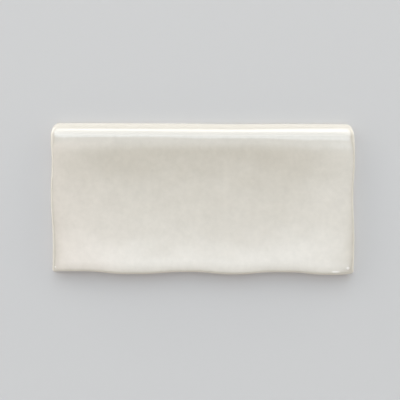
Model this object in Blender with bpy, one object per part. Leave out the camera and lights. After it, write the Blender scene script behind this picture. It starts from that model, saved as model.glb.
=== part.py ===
# Bullnose tile: one pressed and glazed piece, with a rolled nose along one long side
# and soft waves on the other three. It lies on its flat back, with the nose towards +Y.

from math import cos, pi, radians, sin, sqrt

import bmesh
import bpy

# Overall size, in metres like every value below
LENGTH = 0.150
WIDTH = 0.075
THICKNESS = 0.008

# The nose: the reach of its roll, and the height of the plain wall left under it
NOSE_ROLL = 0.0069
NOSE_WALL = 0.0010

# The other three edges: the reach of the roll, and how far below the face it ends
EDGE_ROLL = 0.0013
EDGE_DROP = 0.0014

# The end rolls widen as they reach the nose
END_ROLL_AT_NOSE = 0.0026
END_ROLL_WIDENS_OVER = 0.016

# How far a corner is drawn in where two rolls meet: 0.5 gives a quarter of an ellipse,
# and the nose's right corner is fuller than the other three
CORNER_DRAW = 0.5
NOSE_RIGHT_DRAW = 0.4

# The face falls away before each edge: where the fall begins, and its depth at the edge
NOSE_FALL_REACH = 0.0150
NOSE_FALL_DEPTH = 0.0008
FRONT_FALL_REACH = 0.0068
FRONT_FALL_DEPTH = 0.0006
END_FALL_REACH = 0.0070
END_FALL_DEPTH = 0.0001

# The face is faintly hollow between its edges
FACE_HOLLOW = 0.0003

# The back's edge is eased
BACK_ARRIS = 0.0005

# Waves of the outline: (place along the edge, inset from the overall size), at each turn
FRONT_WAVE = (
    (-0.0750, 0.0011),
    (-0.0620, 0.0013),
    (-0.0380, 0.0000),
    (-0.0335, 0.0000),
    (-0.0065, 0.00115),
    (0.0155, 0.0000),
    (0.0350, 0.00115),
    (0.0425, 0.00115),
    (0.0640, 0.0000),
    (0.0750, 0.00085),
)
NOSE_WAVE = (
    (-0.0750, 0.00010),
    (-0.0600, 0.0),
    (-0.0160, 0.00003),
    (0.0170, 0.00022),
    (0.0380, 0.00004),
    (0.0600, 0.0),
    (0.0750, 0.00010),
)
LEFT_WAVE = (
    (-0.0375, 0.0010),
    (-0.0270, 0.0012),
    (0.0045, 0.0001),
    (0.0175, 0.0005),
    (0.0290, 0.0000),
    (0.0375, 0.0002),
)
RIGHT_WAVE = (
    (-0.0375, 0.0005),
    (-0.0215, 0.0001),
    (0.0015, 0.0007),
    (0.0195, 0.0000),
    (0.0375, 0.0008),
)

# Cells across each stretch of the face's grid
NOSE_CELLS = 10
EDGE_CELLS = 4
FALL_CELLS = 4
FACE_CELLS_LONG = 40
FACE_CELLS_WIDE = 10

GLAZE_COLOUR = (0.80, 0.79, 0.74, 1.0)
GLAZE_ROUGHNESS = 0.10
SHARP_ANGLE = radians(40)

HALF_LENGTH = LENGTH / 2
HALF_WIDTH = WIDTH / 2


def clear_scene():
    for thing in list(bpy.data.objects):
        bpy.data.objects.remove(thing, do_unlink=True)


def ease(share):
    """0 to 1 with a level start and a level end."""
    share = min(1.0, max(0.0, share))
    return (1 - cos(pi * share)) / 2


def wave_inset(wave, place):
    """How far in a wavy edge lies, eased from one turn to the next."""
    for (start, start_inset), (end, end_inset) in zip(wave, wave[1:]):
        if place <= end:
            share = ease((place - start) / (end - start))
            return start_inset + (end_inset - start_inset) * share
    return wave[-1][1]


def spread(start, stop, cells):
    """Evenly spaced places from start, without stop itself."""
    return [start + (stop - start) * cell / cells for cell in range(cells)]


def lines_across(flat_places, low_cells, high_cells):
    """Grid lines from one edge to the other, as (place on the flat, sine of the roll).

    The sine runs from -1 at the low edge's wall to 1 at the high edge's wall.
    """
    low = [-sin(radians(90) * cell / low_cells) for cell in range(low_cells, 0, -1)]
    high = [sin(radians(90) * cell / high_cells) for cell in range(1, high_cells + 1)]
    lines = [(flat_places[0], roll) for roll in low]
    lines += [(place, 0.0) for place in flat_places]
    lines += [(flat_places[-1], roll) for roll in high]
    return lines


def lines_along_length():
    flat_end = HALF_LENGTH - EDGE_ROLL
    fall_start = HALF_LENGTH - END_FALL_REACH
    places = spread(-flat_end, -fall_start, FALL_CELLS)
    places += spread(-fall_start, fall_start, FACE_CELLS_LONG)
    places += spread(fall_start, flat_end, FALL_CELLS)
    places.append(flat_end)
    return lines_across(places, EDGE_CELLS, EDGE_CELLS)


def lines_along_width():
    flat_front = EDGE_ROLL - HALF_WIDTH
    flat_nose = HALF_WIDTH - NOSE_ROLL
    front_fall = FRONT_FALL_REACH - HALF_WIDTH
    nose_fall = HALF_WIDTH - NOSE_FALL_REACH
    places = spread(flat_front, front_fall, FALL_CELLS)
    places += spread(front_fall, nose_fall, FACE_CELLS_WIDE)
    places += spread(nose_fall, flat_nose, FALL_CELLS)
    places.append(flat_nose)
    return lines_across(places, EDGE_CELLS, NOSE_CELLS)


def fall(distance, reach, depth):
    """How far the face has fallen at a distance in from an edge."""
    return depth * max(0.0, 1 - distance / reach) ** 2


def face_height(x, y):
    """Height of the face, before its edges roll over."""
    hollow = FACE_HOLLOW * cos(pi / 2 * x / HALF_LENGTH) * cos(pi / 2 * y / HALF_WIDTH)
    falls = fall(HALF_WIDTH - y, NOSE_FALL_REACH, NOSE_FALL_DEPTH)
    falls += fall(HALF_WIDTH + y, FRONT_FALL_REACH, FRONT_FALL_DEPTH)
    falls += fall(HALF_LENGTH - abs(x), END_FALL_REACH, END_FALL_DEPTH)
    return THICKNESS - hollow - falls


def wall_height(across, along):
    """Height of the wall under a roll: low below the nose, high below the other edges."""
    edge_wall = THICKNESS - EDGE_DROP
    if along <= 0:
        return edge_wall
    towards_nose = along**2 / (along**2 + across**2)
    return edge_wall + (NOSE_WALL - edge_wall) * towards_nose


def surface_point(x_line, y_line):
    """A point of the upper surface where two grid lines cross.

    Where two rolls meet, the corner of the grid is drawn in to a rounded one.
    """
    x_place, x_roll = x_line
    y_place, y_roll = y_line
    draw = NOSE_RIGHT_DRAW if x_roll > 0 and y_roll > 0 else CORNER_DRAW
    across = x_roll * sqrt(1 - draw * y_roll**2)
    along = y_roll * sqrt(1 - draw * x_roll**2)

    y = y_place + along * (NOSE_ROLL if y_roll > 0 else EDGE_ROLL)
    widening = ease(1 - (HALF_WIDTH - y) / END_ROLL_WIDENS_OVER)
    end_roll = EDGE_ROLL + (END_ROLL_AT_NOSE - EDGE_ROLL) * widening
    x = x_place * (HALF_LENGTH - end_roll) / (HALF_LENGTH - EDGE_ROLL)
    x += across * end_roll

    wall = wall_height(across, along)
    level = sqrt((1 - x_roll**2) * (1 - y_roll**2))
    z = wall + (face_height(x, y) - wall) * level

    end_inset = wave_inset(RIGHT_WAVE if x > 0 else LEFT_WAVE, y)
    side_inset = wave_inset(NOSE_WAVE if y > 0 else FRONT_WAVE, x)
    return (
        x * (1 - end_inset / HALF_LENGTH),
        y * (1 - side_inset / HALF_WIDTH),
        z,
    )


def shape_face(mesh):
    """The face and its rolls, from a grid whose lines are moved to their places."""
    x_lines = lines_along_length()
    y_lines = lines_along_width()
    x_cells = len(x_lines) - 1
    y_cells = len(y_lines) - 1
    bmesh.ops.create_grid(mesh, x_segments=x_cells, y_segments=y_cells, size=1)
    for vertex in mesh.verts:
        x_line = x_lines[round((vertex.co.x + 1) / 2 * x_cells)]
        y_line = y_lines[round((vertex.co.y + 1) / 2 * y_cells)]
        vertex.co = surface_point(x_line, y_line)


def extrude_rim(mesh, rim, height, inset):
    """Carries the open rim down to a height, drawn in by an inset, and returns the new rim."""
    extruded = bmesh.ops.extrude_edge_only(mesh, edges=rim)["geom"]
    for element in extruded:
        if isinstance(element, bmesh.types.BMVert):
            element.co.x *= 1 - inset / HALF_LENGTH
            element.co.y *= 1 - inset / HALF_WIDTH
            element.co.z = height
    return [
        element
        for element in extruded
        if isinstance(element, bmesh.types.BMEdge) and element.is_boundary
    ]


def close_back(mesh, rim):
    """Fills the back and fans it from its middle, so that it stays level and clean."""
    back = bmesh.ops.contextual_create(mesh, geom=rim)["faces"]
    bmesh.ops.poke(mesh, faces=back)


def make_glaze():
    material = bpy.data.materials.new("white_glaze")
    material.use_nodes = True
    shader = material.node_tree.nodes["Principled BSDF"]
    shader.inputs["Base Color"].default_value = GLAZE_COLOUR
    shader.inputs["Roughness"].default_value = GLAZE_ROUGHNESS
    shader.inputs["Metallic"].default_value = 0.0
    return material


def make_tile(collection):
    data = bpy.data.meshes.new("bullnose_tile")
    mesh = bmesh.new()
    shape_face(mesh)
    rim = [edge for edge in mesh.edges if edge.is_boundary]
    rim = extrude_rim(mesh, rim, BACK_ARRIS, 0.0)
    rim = extrude_rim(mesh, rim, 0.0, BACK_ARRIS)
    close_back(mesh, rim)
    bmesh.ops.recalc_face_normals(mesh, faces=mesh.faces)
    mesh.to_mesh(data)
    mesh.free()
    data.shade_smooth()
    data.set_sharp_from_angle(angle=SHARP_ANGLE)
    data.materials.append(make_glaze())
    tile = bpy.data.objects.new("bullnose_tile", data)
    collection.objects.link(tile)
    return tile


clear_scene()
tile_collection = bpy.data.collections.new("Bullnose tile")
bpy.context.scene.collection.children.link(tile_collection)
make_tile(tile_collection)
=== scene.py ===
from math import cos, pi, radians, sin

import bmesh
import bpy
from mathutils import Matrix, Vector


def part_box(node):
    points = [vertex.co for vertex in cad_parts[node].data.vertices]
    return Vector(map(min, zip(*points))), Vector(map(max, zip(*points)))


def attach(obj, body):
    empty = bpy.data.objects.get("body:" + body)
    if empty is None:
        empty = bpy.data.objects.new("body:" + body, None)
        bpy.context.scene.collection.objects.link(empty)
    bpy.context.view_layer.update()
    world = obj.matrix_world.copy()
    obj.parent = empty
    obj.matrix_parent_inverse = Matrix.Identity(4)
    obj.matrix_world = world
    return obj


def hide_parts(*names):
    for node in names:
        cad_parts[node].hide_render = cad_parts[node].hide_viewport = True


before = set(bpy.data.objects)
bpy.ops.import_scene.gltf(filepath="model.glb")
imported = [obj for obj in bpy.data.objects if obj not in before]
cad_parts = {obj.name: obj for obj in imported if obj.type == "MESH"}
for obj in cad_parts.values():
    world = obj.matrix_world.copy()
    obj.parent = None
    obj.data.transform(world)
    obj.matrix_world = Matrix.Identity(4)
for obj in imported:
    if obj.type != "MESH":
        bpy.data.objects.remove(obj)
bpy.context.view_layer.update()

tileLow, tileHigh = (Vector(corner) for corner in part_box("bullnose_tile"))
tileSize = tileHigh - tileLow
mm = 0.001


# Node helpers

class Number:
    # a number in a node tree, so that a rule reads as plain arithmetic
    def __init__(self, tree, source):
        self.tree = tree
        self.source = source

    def maths(self, operation, *values):
        made = addNode(self.tree, "ShaderNodeMath", *values, operation=operation)
        return Number(self.tree, made.outputs[0])

    def __add__(self, other):
        return self.maths("ADD", self, other)

    def __radd__(self, other):
        return self.maths("ADD", other, self)

    def __sub__(self, other):
        return self.maths("SUBTRACT", self, other)

    def __rsub__(self, other):
        return self.maths("SUBTRACT", other, self)

    def __mul__(self, other):
        return self.maths("MULTIPLY", self, other)

    def __rmul__(self, other):
        return self.maths("MULTIPLY", other, self)

    def __truediv__(self, other):
        return self.maths("DIVIDE", self, other)

    def __rtruediv__(self, other):
        return self.maths("DIVIDE", other, self)

    def squared(self):
        return self.maths("MULTIPLY", self, self)

    def root(self):
        return self.maths("SQRT", self)

    def sine(self):
        return self.maths("SINE", self)

    def cosine(self):
        return self.maths("COSINE", self)

    def exp(self):
        return self.maths("EXPONENT", self)

    def absolute(self):
        return self.maths("ABSOLUTE", self)

    def over(self, other):
        # 1 where this number is the greater, 0 elsewhere
        return self.maths("GREATER_THAN", self, other)

    def atLeast(self, other):
        return self.maths("MAXIMUM", self, other)

    def atMost(self, other):
        return self.maths("MINIMUM", self, other)

    def ranged(self, fromLow, fromHigh, toLow=0.0, toHigh=1.0, ease="LINEAR"):
        made = addNode(
            self.tree, "ShaderNodeMapRange", self, fromLow, fromHigh, toLow, toHigh,
            interpolation_type=ease,
        )
        return Number(self.tree, made.outputs["Result"])

    def eased(self, fromLow, fromHigh, toLow=0.0, toHigh=1.0):
        return self.ranged(fromLow, fromHigh, toLow, toHigh, ease="SMOOTHSTEP")

    def band(self, start, full, fading, end):
        # up from 0 to 1 between the first two, and down again between the last two
        return self.ranged(start, full) * self.ranged(fading, end, 1, 0)


def feed(tree, socket, value):
    if isinstance(value, Number):
        value = value.source
    if isinstance(value, bpy.types.NodeSocket):
        tree.links.new(value, socket)
    elif value is not None:
        socket.default_value = value


def addNode(tree, kind, *values, **settings):
    made = tree.nodes.new(kind)
    for name, value in settings.items():
        setattr(made, name, value)
    for socket, value in zip(made.inputs, values):
        feed(tree, socket, value)
    return made


def plug(tree, made, **values):
    # sockets by name, with spaces written as underscores
    for name, value in values.items():
        feed(tree, made.inputs[name.replace("_", " ")], value)
    return made


def axesOf(tree, vector):
    parts = addNode(tree, "ShaderNodeSeparateXYZ", vector)
    return [Number(tree, parts.outputs[axis]) for axis in "XYZ"]


# The tile: one pressed body under glaze, drawn by rule from its sizes

tileShape = {
    "Length": tileSize.x,
    "Width": tileSize.y,
    "Thickness": tileSize.z,
    "Nose Roll": 6.9 * mm,          # how far in the nose's quarter roll reaches
    "Nose Wall": 1.0 * mm,          # and the height of the plain wall left under it
    "Edge Roll": 1.3 * mm,
    "Edge Drop": 1.4 * mm,          # how far below the face the other edges' rolls end
    "End Roll At Nose": 2.6 * mm,
    "End Roll Widens Over": 16 * mm,
    "Nose Fall Reach": 15 * mm,     # where the face starts to fall before an edge
    "Nose Fall Depth": 0.8 * mm,
    "Front Fall Reach": 6.8 * mm,
    "Front Fall Depth": 0.6 * mm,
    "End Fall Reach": 7 * mm,
    "End Fall Depth": 0.1 * mm,
    "Face Hollow": 0.3 * mm,
    "Back Arris": 0.5 * mm,
    "Corner Draw": 0.5,             # rounds a corner like an ellipse, and less is fuller
    "Right Nose Corner Draw": 0.4,
    "Ripple Spacing": 22 * mm,
    "Ripple Height": 0.05 * mm,
    "Seed": 4.0,
}

# Cells of the box that is drawn into the tile, and how many of them the rolls take
tileCells = {"long": 240, "wide": 132, "deep": 12, "edgeRoll": 10, "noseRoll": 26}

# Waves of the outline: place along the edge and inset, both in millimetres, at each turn
tileWaves = {
    "front": [(-75, 1.1), (-62, 1.3), (-38, 0), (-33.5, 0), (-6.5, 1.15), (15.5, 0),
              (35, 1.15), (42.5, 1.15), (64, 0), (75, 0.85)],
    "nose": [(-75, 0.10), (-60, 0), (-16, 0.03), (17, 0.22), (38, 0.04), (60, 0), (75, 0.10)],
    "left": [(-37.5, 1.0), (-27, 1.2), (4.5, 0.1), (17.5, 0.5), (29, 0), (37.5, 0.2)],
    "right": [(-37.5, 0.5), (-21.5, 0.1), (1.5, 0.7), (19.5, 0), (37.5, 0.8)],
}


def gridLines(place, lowShare, highShare, lowFlat, highFlat):
    # where a line of the box lies on the flat, and the sine of its roll at either edge
    flatStart, flatEnd = lowShare * 2 - 1, 1 - highShare * 2
    flat = place.ranged(flatStart, flatEnd, lowFlat, highFlat)
    lowTurn = place.ranged(-1, flatStart, pi / 2, 0)
    highTurn = place.ranged(flatEnd, 1, 0, pi / 2)
    return flat, highTurn.sine() - lowTurn.sine()


def waveInset(tree, turns, place, half):
    # the inset of a wavy edge, read from a curve through its turns
    made = addNode(tree, "ShaderNodeFloatCurve")
    curve = made.mapping.curves[0]
    halfInMm = turns[-1][0]
    deepestInMm = 2.0               # the inset that the curve's top stands for
    points = [((at + halfInMm) / (2 * halfInMm), inset / deepestInMm) for at, inset in turns]
    curve.points[0].location = points[0]
    curve.points[1].location = points[-1]
    for point in points[1:-1]:
        curve.points.new(*point)
    for point in curve.points:
        point.handle_type = "AUTO_CLAMPED"
    made.mapping.update()
    plug(tree, made, Value=place.ranged(-1 * half, half))
    return Number(tree, made.outputs[0]) * (deepestInMm * mm)


def fallAt(distance, reach, depth):
    # how far the face has fallen at a distance in from an edge
    return depth * (1 - distance / reach).atLeast(0).squared()


def faceHeight(tree, size, x, y, halfLength, halfWidth):
    # the face is faintly hollow, and falls away before each edge
    hollow = (x / halfLength * (pi / 2)).cosine() * (y / halfWidth * (pi / 2)).cosine()
    height = size["Thickness"] - size["Face Hollow"] * hollow
    height -= fallAt(halfWidth - y, size["Nose Fall Reach"], size["Nose Fall Depth"])
    height -= fallAt(halfWidth + y, size["Front Fall Reach"], size["Front Fall Depth"])
    height -= fallAt(halfLength - x.absolute(), size["End Fall Reach"], size["End Fall Depth"])

    # the glaze set in slow ripples
    ripplePlace = addNode(tree, "ShaderNodeCombineXYZ", x, y, 0.0)
    ripple = addNode(tree, "ShaderNodeTexNoise", noise_dimensions="4D")
    plug(tree, ripple, Vector=ripplePlace.outputs[0], W=size["Seed"],
         Scale=1 / size["Ripple Spacing"], Detail=1.0, Roughness=0.4)
    return height + (Number(tree, ripple.outputs[0]) - 0.5) * 2 * size["Ripple Height"]


def storeNumber(tree, geometry, name, value):
    stored = addNode(tree, "GeometryNodeStoreNamedAttribute", data_type="FLOAT", domain="POINT")
    plug(tree, stored, Geometry=geometry, Name=name, Value=value)
    return stored.outputs[0]


def pressedTileTree():
    tree = bpy.data.node_groups.new("pressedTile", "GeometryNodeTree")
    tree.is_modifier = True
    for name in tileShape:
        tree.interface.new_socket(name, in_out="INPUT", socket_type="NodeSocketFloat")
    tree.interface.new_socket("Glaze", in_out="INPUT", socket_type="NodeSocketMaterial")
    tree.interface.new_socket("Tile", in_out="OUTPUT", socket_type="NodeSocketGeometry")
    given = addNode(tree, "NodeGroupInput")
    size = {name: Number(tree, given.outputs[name]) for name in tileShape}
    halfLength = size["Length"] / 2
    halfWidth = size["Width"] / 2
    edgeRoll = size["Edge Roll"]
    noseRoll = size["Nose Roll"]

    # a box of even cells from -1 to 1, whose lines are then moved to their places
    box = addNode(tree, "GeometryNodeMeshCube")
    plug(tree, box, Size=(2, 2, 2), Vertices_X=tileCells["long"] + 1,
         Vertices_Y=tileCells["wide"] + 1, Vertices_Z=tileCells["deep"] + 1)
    position = addNode(tree, "GeometryNodeInputPosition").outputs[0]
    boxX, boxY, boxZ = axesOf(tree, position)

    endShare = tileCells["edgeRoll"] / tileCells["long"]
    frontShare = tileCells["edgeRoll"] / tileCells["wide"]
    noseShare = tileCells["noseRoll"] / tileCells["wide"]
    flatEnd = halfLength - edgeRoll
    flatX, rollX = gridLines(boxX, endShare, endShare, flatEnd * -1, flatEnd)
    flatY, rollY = gridLines(
        boxY, frontShare, noseShare, edgeRoll - halfWidth, halfWidth - noseRoll
    )

    # where two rolls meet, the corner is drawn in to a rounded one
    draw, rightNoseDraw = size["Corner Draw"], size["Right Nose Corner Draw"]
    draw = draw + (rightNoseDraw - draw) * (rollX.over(0) * rollY.over(0))
    across = rollX * (1 - draw * rollY.squared()).root()
    along = rollY * (1 - draw * rollX.squared()).root()
    y = flatY + along.atLeast(0) * noseRoll + along.atMost(0) * edgeRoll
    endRoll = y.eased(
        halfWidth - size["End Roll Widens Over"], halfWidth, edgeRoll, size["End Roll At Nose"]
    )
    x = flatX * (halfLength - endRoll) / flatEnd + across * endRoll

    # the rolls come down to a wall: low under the nose, high under the other edges
    sliver = 1e-9                   # so that nothing is divided by 0 on the flat face
    towardsNose = along.atLeast(0).squared() / (along.squared() + across.squared() + sliver)
    edgeWall = size["Thickness"] - size["Edge Drop"]
    wall = edgeWall + (size["Nose Wall"] - edgeWall) * towardsNose
    level = ((1 - rollX.squared()) * (1 - rollY.squared())).atLeast(0).root()
    face = faceHeight(tree, size, x, y, halfLength, halfWidth)
    z = (wall + (face - wall) * level) * (boxZ + 1) / 2

    # the waves draw the outline in, and the lowest ring a little more, to ease the back's edge
    overLowestRing = -1 + 0.5 / tileCells["deep"]
    backEasing = size["Back Arris"] * boxZ.ranged(-1, overLowestRing, 1, 0)
    leftInset = waveInset(tree, tileWaves["left"], y, halfWidth)
    rightInset = waveInset(tree, tileWaves["right"], y, halfWidth)
    frontInset = waveInset(tree, tileWaves["front"], x, halfLength)
    noseInset = waveInset(tree, tileWaves["nose"], x, halfLength)
    endInset = leftInset + (rightInset - leftInset) * x.over(0) + backEasing
    sideInset = frontInset + (noseInset - frontInset) * y.over(0) + backEasing
    newPlace = addNode(
        tree, "ShaderNodeCombineXYZ",
        x * (1 - endInset / halfLength), y * (1 - sideInset / halfWidth), z,
    )

    # both numbers are stored while the points still lie on the box
    kept = storeNumber(tree, box.outputs["Mesh"], "edgeTurn", 1 - level)
    kept = storeNumber(tree, kept, "noseward", towardsNose)
    moved = addNode(tree, "GeometryNodeSetPosition")
    plug(tree, moved, Geometry=kept, Position=newPlace.outputs[0])
    smooth = plug(tree, addNode(tree, "GeometryNodeSetShadeSmooth"), Geometry=moved.outputs[0])
    real = plug(tree, addNode(tree, "GeometryNodeRealizeInstances"), Geometry=smooth.outputs[0])
    glazed = plug(tree, addNode(tree, "GeometryNodeSetMaterial"), Geometry=real.outputs[0],
                  Material=given.outputs["Glaze"])
    addNode(tree, "NodeGroupOutput", glazed.outputs[0])
    return tree


# The glaze and the bare fired body under it

glazeLook = {
    "colour": (0.672, 0.624, 0.536, 1),
    "cloudColour": (0.600, 0.557, 0.474, 1),
    # whiter for thick glaze, and partly a painted highlight on the rolled edges
    "thickAndHighlightColour": (0.800, 0.752, 0.672, 1),
    # a painted highlight over the pooled rises
    "paintedHighlightColour": (0.84, 0.80, 0.74, 1),
    "thinColour": (0.74, 0.60, 0.52, 1),
    "cloudShares": {"clouds": 0.25, "mottle": 0.5, "specks": 0.45},
    "thickAndHighlightShare": 0.6,              # how much of the thick glaze's colour and painted highlight comes through
    "thickAndHighlightEdge": (0.1, 0.6),        # how far an edge has turned where it starts and is full
    "thickAndHighlightAtEdge": 1.4,                # and how strong the thick glaze and painted highlight are there, against the nose's 1
    "frontArris": (-36 * mm, -34 * mm),
    "thinShare": 0.9,               # the same for the thin colour on the front arris
    "thinEdge": (0.25, 0.8),
    "leastWorn": 0.5,
    "thinnest": 0.85,
    "rimShare": 0.3,                # it thins again down at its line
    "rimShadeOver": 1.2 * mm,
    # where the painted highlight over a rise starts and is full
    "paintedHighlightEdge": (0.3, 0.6),
    "gloss": 0.035,                 # roughness where it is glossiest and where it is dullest
    "dullest": 0.05,
    "glossIor": 1.72,               # above a usual glaze's, for stronger reflections
    "noseGloss": 0.03,              # a second gloss over the nose, where it lies thickest
    "wallLine": 2.6 * mm,           # where the glaze ends, above the back
    "noseLine": 0.5 * mm,
    "lineWander": 2.4 * mm,
    "lineJitter": 0.5 * mm,
    "steadierNose": 0.8,            # how much of the wander the nose does without
    "lineEdge": (-0.06 * mm, 0.14 * mm),
    "peelShares": {"orangePeel": 0.5, "slowPeel": 2.0},
    "peelHeight": 0.012 * mm,       # relief
    "pooledHeight": 0.05 * mm,
    "gritHeight": 0.10 * mm,
    "lineStep": 0.12 * mm,
}

bodyLook = {
    "colour": (0.66, 0.55, 0.45, 1),
    "dark": (0.50, 0.39, 0.30, 1),
    "roughness": 0.88,
    "grainShare": 0.5,
    "grainBetween": (0.35, 0.7),
    "otherShares": {"firing": 0.4, "grit": 0.5},
}

# Patterns in both: size, detail and roughness, and which stretch of the noise is drawn out
finePatterns = {
    "lineWander": {"size": 9 * mm, "detail": 3, "roughness": 0.6},
    "lineJitter": {"size": 1.6 * mm, "detail": 2, "roughness": 0.5},
    "clouds": {"size": 26 * mm, "detail": 3, "roughness": 0.55, "between": (0.3, 0.72)},
    "mottle": {"size": 8 * mm, "detail": 2, "roughness": 0.55, "between": (0.3, 0.7)},
    "specks": {"size": 2.6 * mm, "detail": 2, "roughness": 0.6, "between": (0.3, 0.7)},
    "arrisWear": {"size": 5 * mm, "detail": 2, "roughness": 0.6, "between": (0.3, 0.7)},
    "smears": {"size": 14 * mm, "detail": 3, "roughness": 0.6, "between": (0.35, 0.75)},
    "orangePeel": {"size": 2.4 * mm, "detail": 2, "roughness": 0.5},
    "slowPeel": {"size": 8 * mm, "detail": 1, "roughness": 0.4},
    "grain": {"size": 0.5 * mm, "detail": 4, "roughness": 0.7},
    "grit": {"size": 1.3 * mm, "detail": 2, "roughness": 0.5, "between": (0.60, 0.70)},
    "firing": {"size": 24 * mm, "detail": 4, "roughness": 0.6, "between": (0.35, 0.65)},
}

# Glaze that pooled into small rises near the front corners, each with a painted highlight, in
# millimetres
pooledRisesAndHighlights = [
    {"x": 71.6, "y": -34.1, "long": 0.80, "wide": 0.75},
    {"x": 65.6, "y": -36.0, "long": 2.2, "wide": 0.42},
    {"x": -72.4, "y": -34.0, "long": 0.45, "wide": 0.45},
]
risesAndHighlightsAbove = 5 * mm                # on the face alone, not on the back under it


def patternAt(tree, place, name, low=0.0, high=1.0):
    look = finePatterns[name]
    made = addNode(tree, "ShaderNodeTexNoise")
    plug(tree, made, Vector=place, Scale=1 / look["size"], Detail=look["detail"],
         Roughness=look["roughness"])
    pattern = Number(tree, made.outputs["Fac"])
    return pattern.ranged(*look["between"], low, high) if "between" in look else pattern


def patternsTogether(tree, place, shares):
    return sum(patternAt(tree, place, name) * share for name, share in shares.items())


def storedNumber(tree, name):
    stored = addNode(tree, "ShaderNodeAttribute", attribute_name=name)
    return Number(tree, stored.outputs["Fac"])


def blendColours(tree, share, first, second):
    made = addNode(tree, "ShaderNodeMix", data_type="RGBA")
    feed(tree, made.inputs["Factor"], share)
    feed(tree, made.inputs[6], first)
    feed(tree, made.inputs[7], second)
    return made.outputs[2]


def bumpOf(tree, height, distance, below=None):
    made = addNode(tree, "ShaderNodeBump")
    plug(tree, made, Distance=distance, Height=height, Normal=below)
    return made.outputs[0]


def pooledRisesWithHighlight(x, y, z):
    # 1 at the middle of each pooled rise, falling softly to 0 around it; this shapes the rise
    # and its painted highlight
    total = z * 0
    for rise in pooledRisesAndHighlights:
        along = (x - rise["x"] * mm) / (rise["long"] * mm)
        across = (y - rise["y"] * mm) / (rise["wide"] * mm)
        total += ((along.squared() + across.squared()) * -1).exp()
    return total * z.over(risesAndHighlightsAbove)


def heightOverLine(tree, place, z, noseward):
    # the glaze runs down the wall to an uneven line, and wraps the nose almost to the back
    wallLine, noseLine = glazeLook["wallLine"], glazeLook["noseLine"]
    line = wallLine + (noseLine - wallLine) * noseward
    wander = (patternAt(tree, place, "lineWander") - 0.5) * glazeLook["lineWander"]
    wander += (patternAt(tree, place, "lineJitter") - 0.5) * glazeLook["lineJitter"]
    return z - line - wander * (1 - noseward * glazeLook["steadierNose"])


def glazeColour(tree, place, y, edgeTurn, noseward, riseAndHighlight, overLine):
    # faint clouds, mottle and specks
    look = glazeLook
    clouds = patternsTogether(tree, place, look["cloudShares"])
    colour = blendColours(tree, clouds, look["colour"], look["cloudColour"])

    # whiter over the nose and the ends, where the glaze lies thick, and partly a painted
    # highlight on the rolled edges
    front = y.ranged(*look["frontArris"], 1, 0)
    thickAndHighlightEdge = edgeTurn.ranged(*look["thickAndHighlightEdge"], 0, look["thickAndHighlightAtEdge"])
    thickAndHighlight = noseward.atLeast(thickAndHighlightEdge * (1 - front)) * look["thickAndHighlightShare"]
    colour = blendColours(tree, thickAndHighlight, colour, look["thickAndHighlightColour"])

    # thinner and warmer where it turns over the front arris, and down at its line
    arris = edgeTurn.eased(*look["thinEdge"]) * front
    arris = arris * patternAt(tree, place, "arrisWear", low=look["leastWorn"])
    rim = overLine.ranged(0.0, look["rimShadeOver"], 1, 0)
    thin = (arris * look["thinShare"] + rim * look["rimShare"]).atMost(look["thinnest"])
    colour = blendColours(tree, thin, colour, look["thinColour"])

    # and a painted highlight, whitest over each pooled rise
    return blendColours(tree, riseAndHighlight.ranged(*look["paintedHighlightEdge"]), colour, look["paintedHighlightColour"])


def bodyColour(tree, place, grain):
    # grainy biscuit with darker grit, fired unevenly
    shade = grain.ranged(*bodyLook["grainBetween"]) * bodyLook["grainShare"]
    shade += patternsTogether(tree, place, bodyLook["otherShares"])
    return blendColours(tree, shade.atMost(1), bodyLook["colour"], bodyLook["dark"])


def makeWhiteGlaze():
    material = bpy.data.materials.new("whiteGlazeOverBiscuit")
    material.use_nodes = True
    tree = material.node_tree
    shader = tree.nodes["Principled BSDF"]
    place = addNode(tree, "ShaderNodeTexCoord").outputs["Object"]
    x, y, z = axesOf(tree, place)
    edgeTurn = storedNumber(tree, "edgeTurn")
    noseward = storedNumber(tree, "noseward")
    overLine = heightOverLine(tree, place, z, noseward)
    glazed = overLine.eased(*glazeLook["lineEdge"])
    riseAndHighlight = pooledRisesWithHighlight(x, y, z)
    grain = patternAt(tree, place, "grain")

    glaze = glazeColour(tree, place, y, edgeTurn, noseward, riseAndHighlight, overLine)
    body = bodyColour(tree, place, grain)
    feed(tree, shader.inputs["Base Color"], blendColours(tree, glazed, body, glaze))

    smears = patternAt(tree, place, "smears", glazeLook["gloss"], glazeLook["dullest"])
    dull = bodyLook["roughness"]
    feed(tree, shader.inputs["Roughness"], dull + (smears - dull) * glazed)
    shader.inputs["IOR"].default_value = glazeLook["glossIor"]
    feed(tree, shader.inputs["Coat Weight"], noseward * glazed)
    shader.inputs["Coat Roughness"].default_value = glazeLook["noseGloss"]

    # relief: orange peel and pooled glaze, grit in the body, and a step at the glaze line
    peel = patternsTogether(tree, place, glazeLook["peelShares"])
    normal = bumpOf(tree, peel * glazed, glazeLook["peelHeight"])
    normal = bumpOf(tree, riseAndHighlight, glazeLook["pooledHeight"], normal)
    normal = bumpOf(tree, grain * (1 - glazed), glazeLook["gritHeight"], normal)
    normal = bumpOf(tree, glazed, glazeLook["lineStep"], normal)
    feed(tree, shader.inputs["Normal"], normal)
    return material


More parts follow.
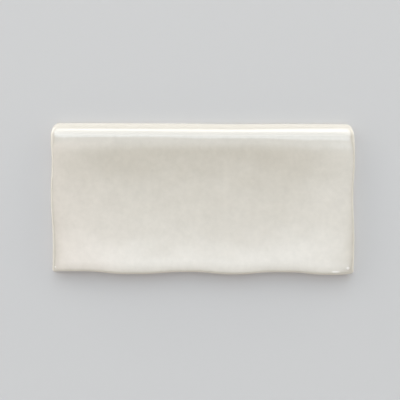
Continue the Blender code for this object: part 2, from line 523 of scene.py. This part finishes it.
def makeTile():
    glaze = makeWhiteGlaze()
    tree = pressedTileTree()
    blank = bpy.data.objects.new("blank", bpy.data.meshes.new("blank"))
    bpy.context.scene.collection.objects.link(blank)
    modifier = blank.modifiers.new("pressedTile", "NODES")
    modifier.node_group = tree
    sockets = {item.name: item.identifier for item in tree.interface.items_tree}
    for name, value in tileShape.items():
        modifier[sockets[name]] = value
    modifier[sockets["Glaze"]] = glaze
    drawn = blank.evaluated_get(bpy.context.evaluated_depsgraph_get())
    mesh = bpy.data.meshes.new_from_object(drawn)
    mesh.name = "glazedTile"
    bpy.data.objects.remove(blank, do_unlink=True)
    piece = bpy.data.objects.new("glazedTile", mesh)
    bpy.context.scene.collection.objects.link(piece)
    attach(piece, "root")
    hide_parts("bullnose_tile")
    return piece


# The pale floor, open where the tile stands, so that the back is seen from below

floorLook = {
    "side": 6.0,
    "colour": (0.62, 0.615, 0.605, 1),
    "roughness": 0.9,
    "specular": 0.2,
}


def makeFloorMaterial():
    material = bpy.data.materials.new("paleFloor")
    material.use_nodes = True
    shader = material.node_tree.nodes["Principled BSDF"]
    shader.inputs["Base Color"].default_value = floorLook["colour"]
    shader.inputs["Roughness"].default_value = floorLook["roughness"]
    shader.inputs["Specular IOR Level"].default_value = floorLook["specular"]
    return material


def edgesAroundBack(tile):
    # the edges that have the level back on one side only
    nearlyDown = -0.999             # a back face's normal points straight down, at -1
    back = {face for face in tile.faces if face.normal.z < nearlyDown}
    return [edge for edge in tile.edges if len(back.intersection(edge.link_faces)) == 1]


def makeFloor(piece):
    tile = bmesh.new()
    tile.from_mesh(piece.data)
    around = edgesAroundBack(tile)

    # the opening's edges and the four outer ones, filled between
    floor = bmesh.new()
    copies = {point: floor.verts.new(point.co) for edge in around for point in edge.verts}
    edges = [floor.edges.new([copies[point] for point in edge.verts]) for edge in around]
    half = floorLook["side"] / 2
    outline = ((-1, -1), (1, -1), (1, 1), (-1, 1))
    corners = [floor.verts.new((half * x, half * y, 0)) for x, y in outline]
    edges += [floor.edges.new((corners[number - 1], corners[number])) for number in range(4)]
    bmesh.ops.triangle_fill(floor, edges=edges, use_beauty=True, normal=(0, 0, 1))

    mesh = bpy.data.meshes.new("paleFloor")
    floor.to_mesh(mesh)
    floor.free()
    tile.free()
    mesh.materials.append(makeFloorMaterial())
    laid = bpy.data.objects.new("paleFloor", mesh)
    bpy.context.scene.collection.objects.link(laid)


# Soft lights: bearing from the nose side and height above the floor, both in degrees

leftWindowColour = (1.0, 0.968, 0.945)
rightWindowColour = (1.0, 0.972, 0.885)
lightDistance = 2.0                 # in metres
softLights = {
    "leftWindowLow": {"bearing": -43, "height": 6, "wide": 1.75, "tall": 0.40,
                      "strength": 3.40, "colour": leftWindowColour},
    "leftWindowHigh": {"bearing": -58, "height": 40, "wide": 1.75, "tall": 1.40,
                       "strength": 1.12, "colour": leftWindowColour},
    "rightWindowLow": {"bearing": 43, "height": 6, "wide": 1.75, "tall": 0.40,
                       "strength": 3.10, "colour": rightWindowColour},
    "rightWindowHigh": {"bearing": 58, "height": 40, "wide": 1.75, "tall": 1.40,
                        "strength": 0.82, "colour": rightWindowColour},
}


def makeSoftLight(name, look):
    area = bpy.data.lights.new(name, "AREA")
    area.shape = "RECTANGLE"
    area.size = look["wide"]
    area.size_y = look["tall"]
    area.energy = look["strength"] * pi * look["wide"] * look["tall"]
    area.color = look["colour"]
    lamp = bpy.data.objects.new(name, area)
    bearing, height = radians(look["bearing"]), radians(look["height"])
    lamp.location = (
        lightDistance * sin(bearing) * cos(height),
        lightDistance * cos(bearing) * cos(height),
        lightDistance * sin(height),
    )
    aim = Vector(lamp.location).to_track_quat("Z", "Y")
    lamp.rotation_euler = aim.to_euler()
    bpy.context.scene.collection.objects.link(lamp)


# The room round the tile. A direction's x runs to the right, y to the nose side and z up,
# each from -1 to 1. Two numbers are where a change starts and ends, and four are a band:
# where it starts, is full, starts to fade and ends.

# A strip of sky and ceiling over the tile, from the front to the nose side: y and brightness
overheadStrip = [
    (-0.75, 0.0), (-0.55, 1.0), (-0.42, 1.7), (-0.30, 2.4), (-0.22, 3.2), (-0.15, 3.6),
    (-0.07, 3.9), (-0.05, 3.6), (-0.03, 2.1), (-0.01, 1.6), (0.01, 1.2), (0.02, 0.75),
    (0.03, 0.2), (0.05, 0.0), (0.08, 0.6), (0.11, 1.3), (0.13, 1.7), (0.148, 1.7),
    (0.158, 1.8), (0.162, 4.1), (0.195, 3.8), (0.25, 2.7), (0.34, 1.9), (0.42, 1.6),
    (0.60, 1.45), (0.86, 1.6), (0.93, 0.9), (0.97, 0.4), (1.0, 0.3),
]

stripLook = {
    "brightest": 4.5,               # the brightness that the ramp's white stands for
    "frontSides": (0.14, 0.32),     # where it fades sideways over the front,
    "ceilingSides": (0.10, 0.28),   # over the middle
    "skySides": (0.20, 0.28),       # and over the nose side
    "frontToCeiling": (-0.16, -0.06),
    "ceilingToSky": (0.0, 0.12),
    "footSlant": 0.135,             # the foot of the sky slants a little at the left
    "foot": (0.10, 0.15, 0.25, 0.35),
    "leftGlow": 1.15,               # and the sky is a little brighter there
    "leftSide": (-0.20, -0.06),
    "leftBand": (0.20, 0.30, 0.70, 0.85),
    "overFloor": (0.0, 0.05),       # the strip fades out just over the floor
    "allRound": 0.04,               # and this little light comes from everywhere
}

# Soft patches at the left and the right of the strip's dark middle
patchLook = {
    "leftGlow": 1.1,
    "rightGlow": 1.4,
    "leftToRight": (-0.05, 0.05),
    "inner": (0.09, 0.19),
    "outer": (0.30, 0.35),
    "band": (-0.08, 0.0, 0.11, 0.17),
}

# The window's bright row, brighter towards both ends, and its two bright uprights
windowLook = {
    "rowGlow": 1.2,
    "rowBottom": (0.735, 0.775),
    "rowBottomSlant": 0.25,
    "rowTop": (0.925, 0.955),
    "rowTopSlant": 0.20,
    "rightMore": 0.3,
    "rightSide": (0.02, 0.17),
    "leftMore": 0.2,
    "leftSide": (-0.15, -0.05),
    "uprightGlow": 2.2,
    "uprights": (0.215, 0.235, 0.28, 0.33),
    "uprightFoot": (0.20, 0.35),
    "footSlant": 0.6,
    "footFrom": 0.2,
    "uprightTop": (0.78, 0.86),
}

roomTints = {
    "ceiling": (0.88, 0.93, 1.0, 1),
    "sky": (0.77, 0.88, 1.0, 1),
    "lowSky": (0.92, 0.96, 1.0, 1),
    "skyToLowSky": (0.6, 0.8),
    "leftOfCeiling": (1.0, 0.92, 0.96, 1),
    "leftSide": (-0.19, -0.08),
    "leftUpTo": (0.12, 0.17),
}

# Pale walls at the left, the right and the front, open at the strip's far end
wallLook = {
    "colour": (1.0, 0.968, 0.918, 1),
    "leftGlow": 1.42,
    "rightGlow": 1.18,
    "frontGlow": 0.95,
    "leftToRight": (-0.5, 0.5),
    "frontToSides": (-0.7, -0.2),
    "openFrom": (0.30, 0.42),
    "besideOpening": (0.32, 0.48),
    "top": (0.34, 0.64),
    "groundGlow": 0.75,             # pale ground, for the back seen from below
    "ground": (-0.02, -0.12),
}


def stripRamp(tree, place):
    ramp = addNode(tree, "ShaderNodeValToRGB", place.ranged(-1, 1))
    elements = ramp.color_ramp.elements
    elements.remove(elements[1])
    for number, (at, brightness) in enumerate(overheadStrip):
        rampPlace = (at + 1) / 2
        element = elements.new(rampPlace) if number else elements[0]
        element.position = rampPlace
        element.color = (*[brightness / stripLook["brightest"]] * 3, 1)
    return Number(tree, ramp.outputs[0])


def overheadGlow(tree, x, y, side, sky):
    slant = x.atMost(0) * stripLook["footSlant"] * y.band(*stripLook["foot"])
    front = side.eased(*stripLook["frontSides"], 1, 0)
    ceiling = side.eased(*stripLook["ceilingSides"], 1, 0)
    ceiling += (front - ceiling) * y.ranged(*stripLook["frontToCeiling"], 1, 0)
    fade = ceiling + (sky - ceiling) * y.ranged(*stripLook["ceilingToSky"])
    leftward = x.ranged(*stripLook["leftSide"], stripLook["leftGlow"], 1) - 1
    fade = fade * (1 + leftward * y.band(*stripLook["leftBand"]))
    return stripRamp(tree, y + slant) * fade * stripLook["brightest"]


def patchGlow(x, y, side):
    patches = side.eased(*patchLook["inner"]) * side.eased(*patchLook["outer"], 1, 0)
    glow = x.ranged(*patchLook["leftToRight"], patchLook["leftGlow"], patchLook["rightGlow"])
    return patches * y.band(*patchLook["band"]) * glow


def windowGlow(x, y, side, sky):
    row = (y + x * windowLook["rowBottomSlant"]).ranged(*windowLook["rowBottom"])
    row = row * (y - x * windowLook["rowTopSlant"]).ranged(*windowLook["rowTop"], 1, 0) * sky
    right = x.ranged(*windowLook["rightSide"], 0, windowLook["rightMore"])
    left = x.ranged(*windowLook["leftSide"], windowLook["leftMore"], 0)
    row = row * (1 + right + left)
    foot = (x + windowLook["footFrom"]) * windowLook["footSlant"]
    uprights = side.band(*windowLook["uprights"])
    uprights = uprights * (y - foot).ranged(*windowLook["uprightFoot"])
    uprights = uprights * y.ranged(*windowLook["uprightTop"], 1, 0)
    return row * windowLook["rowGlow"] + uprights * windowLook["uprightGlow"]


def roomTint(tree, x, y):
    towardsSky = y.ranged(*stripLook["ceilingToSky"])
    tint = blendColours(tree, towardsSky, roomTints["ceiling"], roomTints["sky"])
    lowDown = y.ranged(*roomTints["skyToLowSky"])
    tint = blendColours(tree, lowDown, tint, roomTints["lowSky"])
    leftward = x.ranged(*roomTints["leftSide"], 1, 0) * y.ranged(*roomTints["leftUpTo"], 1, 0)
    return blendColours(tree, leftward, tint, roomTints["leftOfCeiling"])


def wallGlow(x, y, z, side):
    walls = x.ranged(*wallLook["leftToRight"], wallLook["leftGlow"], wallLook["rightGlow"])
    walls = y.ranged(*wallLook["frontToSides"], wallLook["frontGlow"], walls)
    beside = side.eased(*wallLook["besideOpening"])
    walls = walls * y.eased(*wallLook["openFrom"], 1, 0).atLeast(beside)
    walls = walls * z.eased(*wallLook["top"], 1, 0)
    return walls.atLeast(z.ranged(*wallLook["ground"], 0, wallLook["groundGlow"]))


def makeWorld():
    world = bpy.data.worlds.new("softRoom")
    bpy.context.scene.world = world
    world.use_nodes = True
    tree = world.node_tree
    direction = addNode(tree, "ShaderNodeTexCoord").outputs["Generated"]
    x, y, z = axesOf(tree, direction)
    side = x.absolute()
    sky = side.eased(*stripLook["skySides"], 1, 0)

    glow = overheadGlow(tree, x, y, side, sky) + patchGlow(x, y, side)
    glow += windowGlow(x, y, side, sky)
    glow = glow * z.ranged(*stripLook["overFloor"]) + stripLook["allRound"]
    overhead = tree.nodes["Background"]
    plug(tree, overhead, Color=roomTint(tree, x, y), Strength=glow)
    walls = addNode(tree, "ShaderNodeBackground", wallLook["colour"], wallGlow(x, y, z, side))
    both = addNode(tree, "ShaderNodeAddShader", overhead.outputs[0], walls.outputs[0])
    tree.links.new(both.outputs[0], tree.nodes["World Output"].inputs["Surface"])


# The camera, looking straight down on the tile's rim

cameraLook = {
    "lens": 70,
    "sensor": 36,
    "clipStart": 0.01,
    "frameWidthMm": 197.3,          # what the picture's width takes in at the rim
    "rimHeightMm": 6.5,
    "turn": 0.22,                   # in degrees
    "offCentreMm": (1.33, 0.87),
}


def makeCamera():
    camera = bpy.data.objects.new("overTheTile", bpy.data.cameras.new("overTheTile"))
    camera.data.lens = cameraLook["lens"]
    camera.data.sensor_width = cameraLook["sensor"]
    camera.data.clip_start = cameraLook["clipStart"]
    rise = cameraLook["frameWidthMm"] * cameraLook["lens"] / cameraLook["sensor"]
    rise += cameraLook["rimHeightMm"]
    left, down = cameraLook["offCentreMm"]
    camera.location = (-left * mm, -down * mm, rise * mm)
    camera.rotation_euler = (0, 0, radians(cameraLook["turn"]))
    bpy.context.scene.collection.objects.link(camera)
    bpy.context.scene.camera = camera


tilePiece = makeTile()
print("tile glazed")
makeFloor(tilePiece)
print("floor laid")
for lightName, lightLook in softLights.items():
    makeSoftLight(lightName, lightLook)
makeWorld()
bpy.context.scene.view_settings.view_transform = "Standard"
print("studio lit")
makeCamera()
print("camera set")
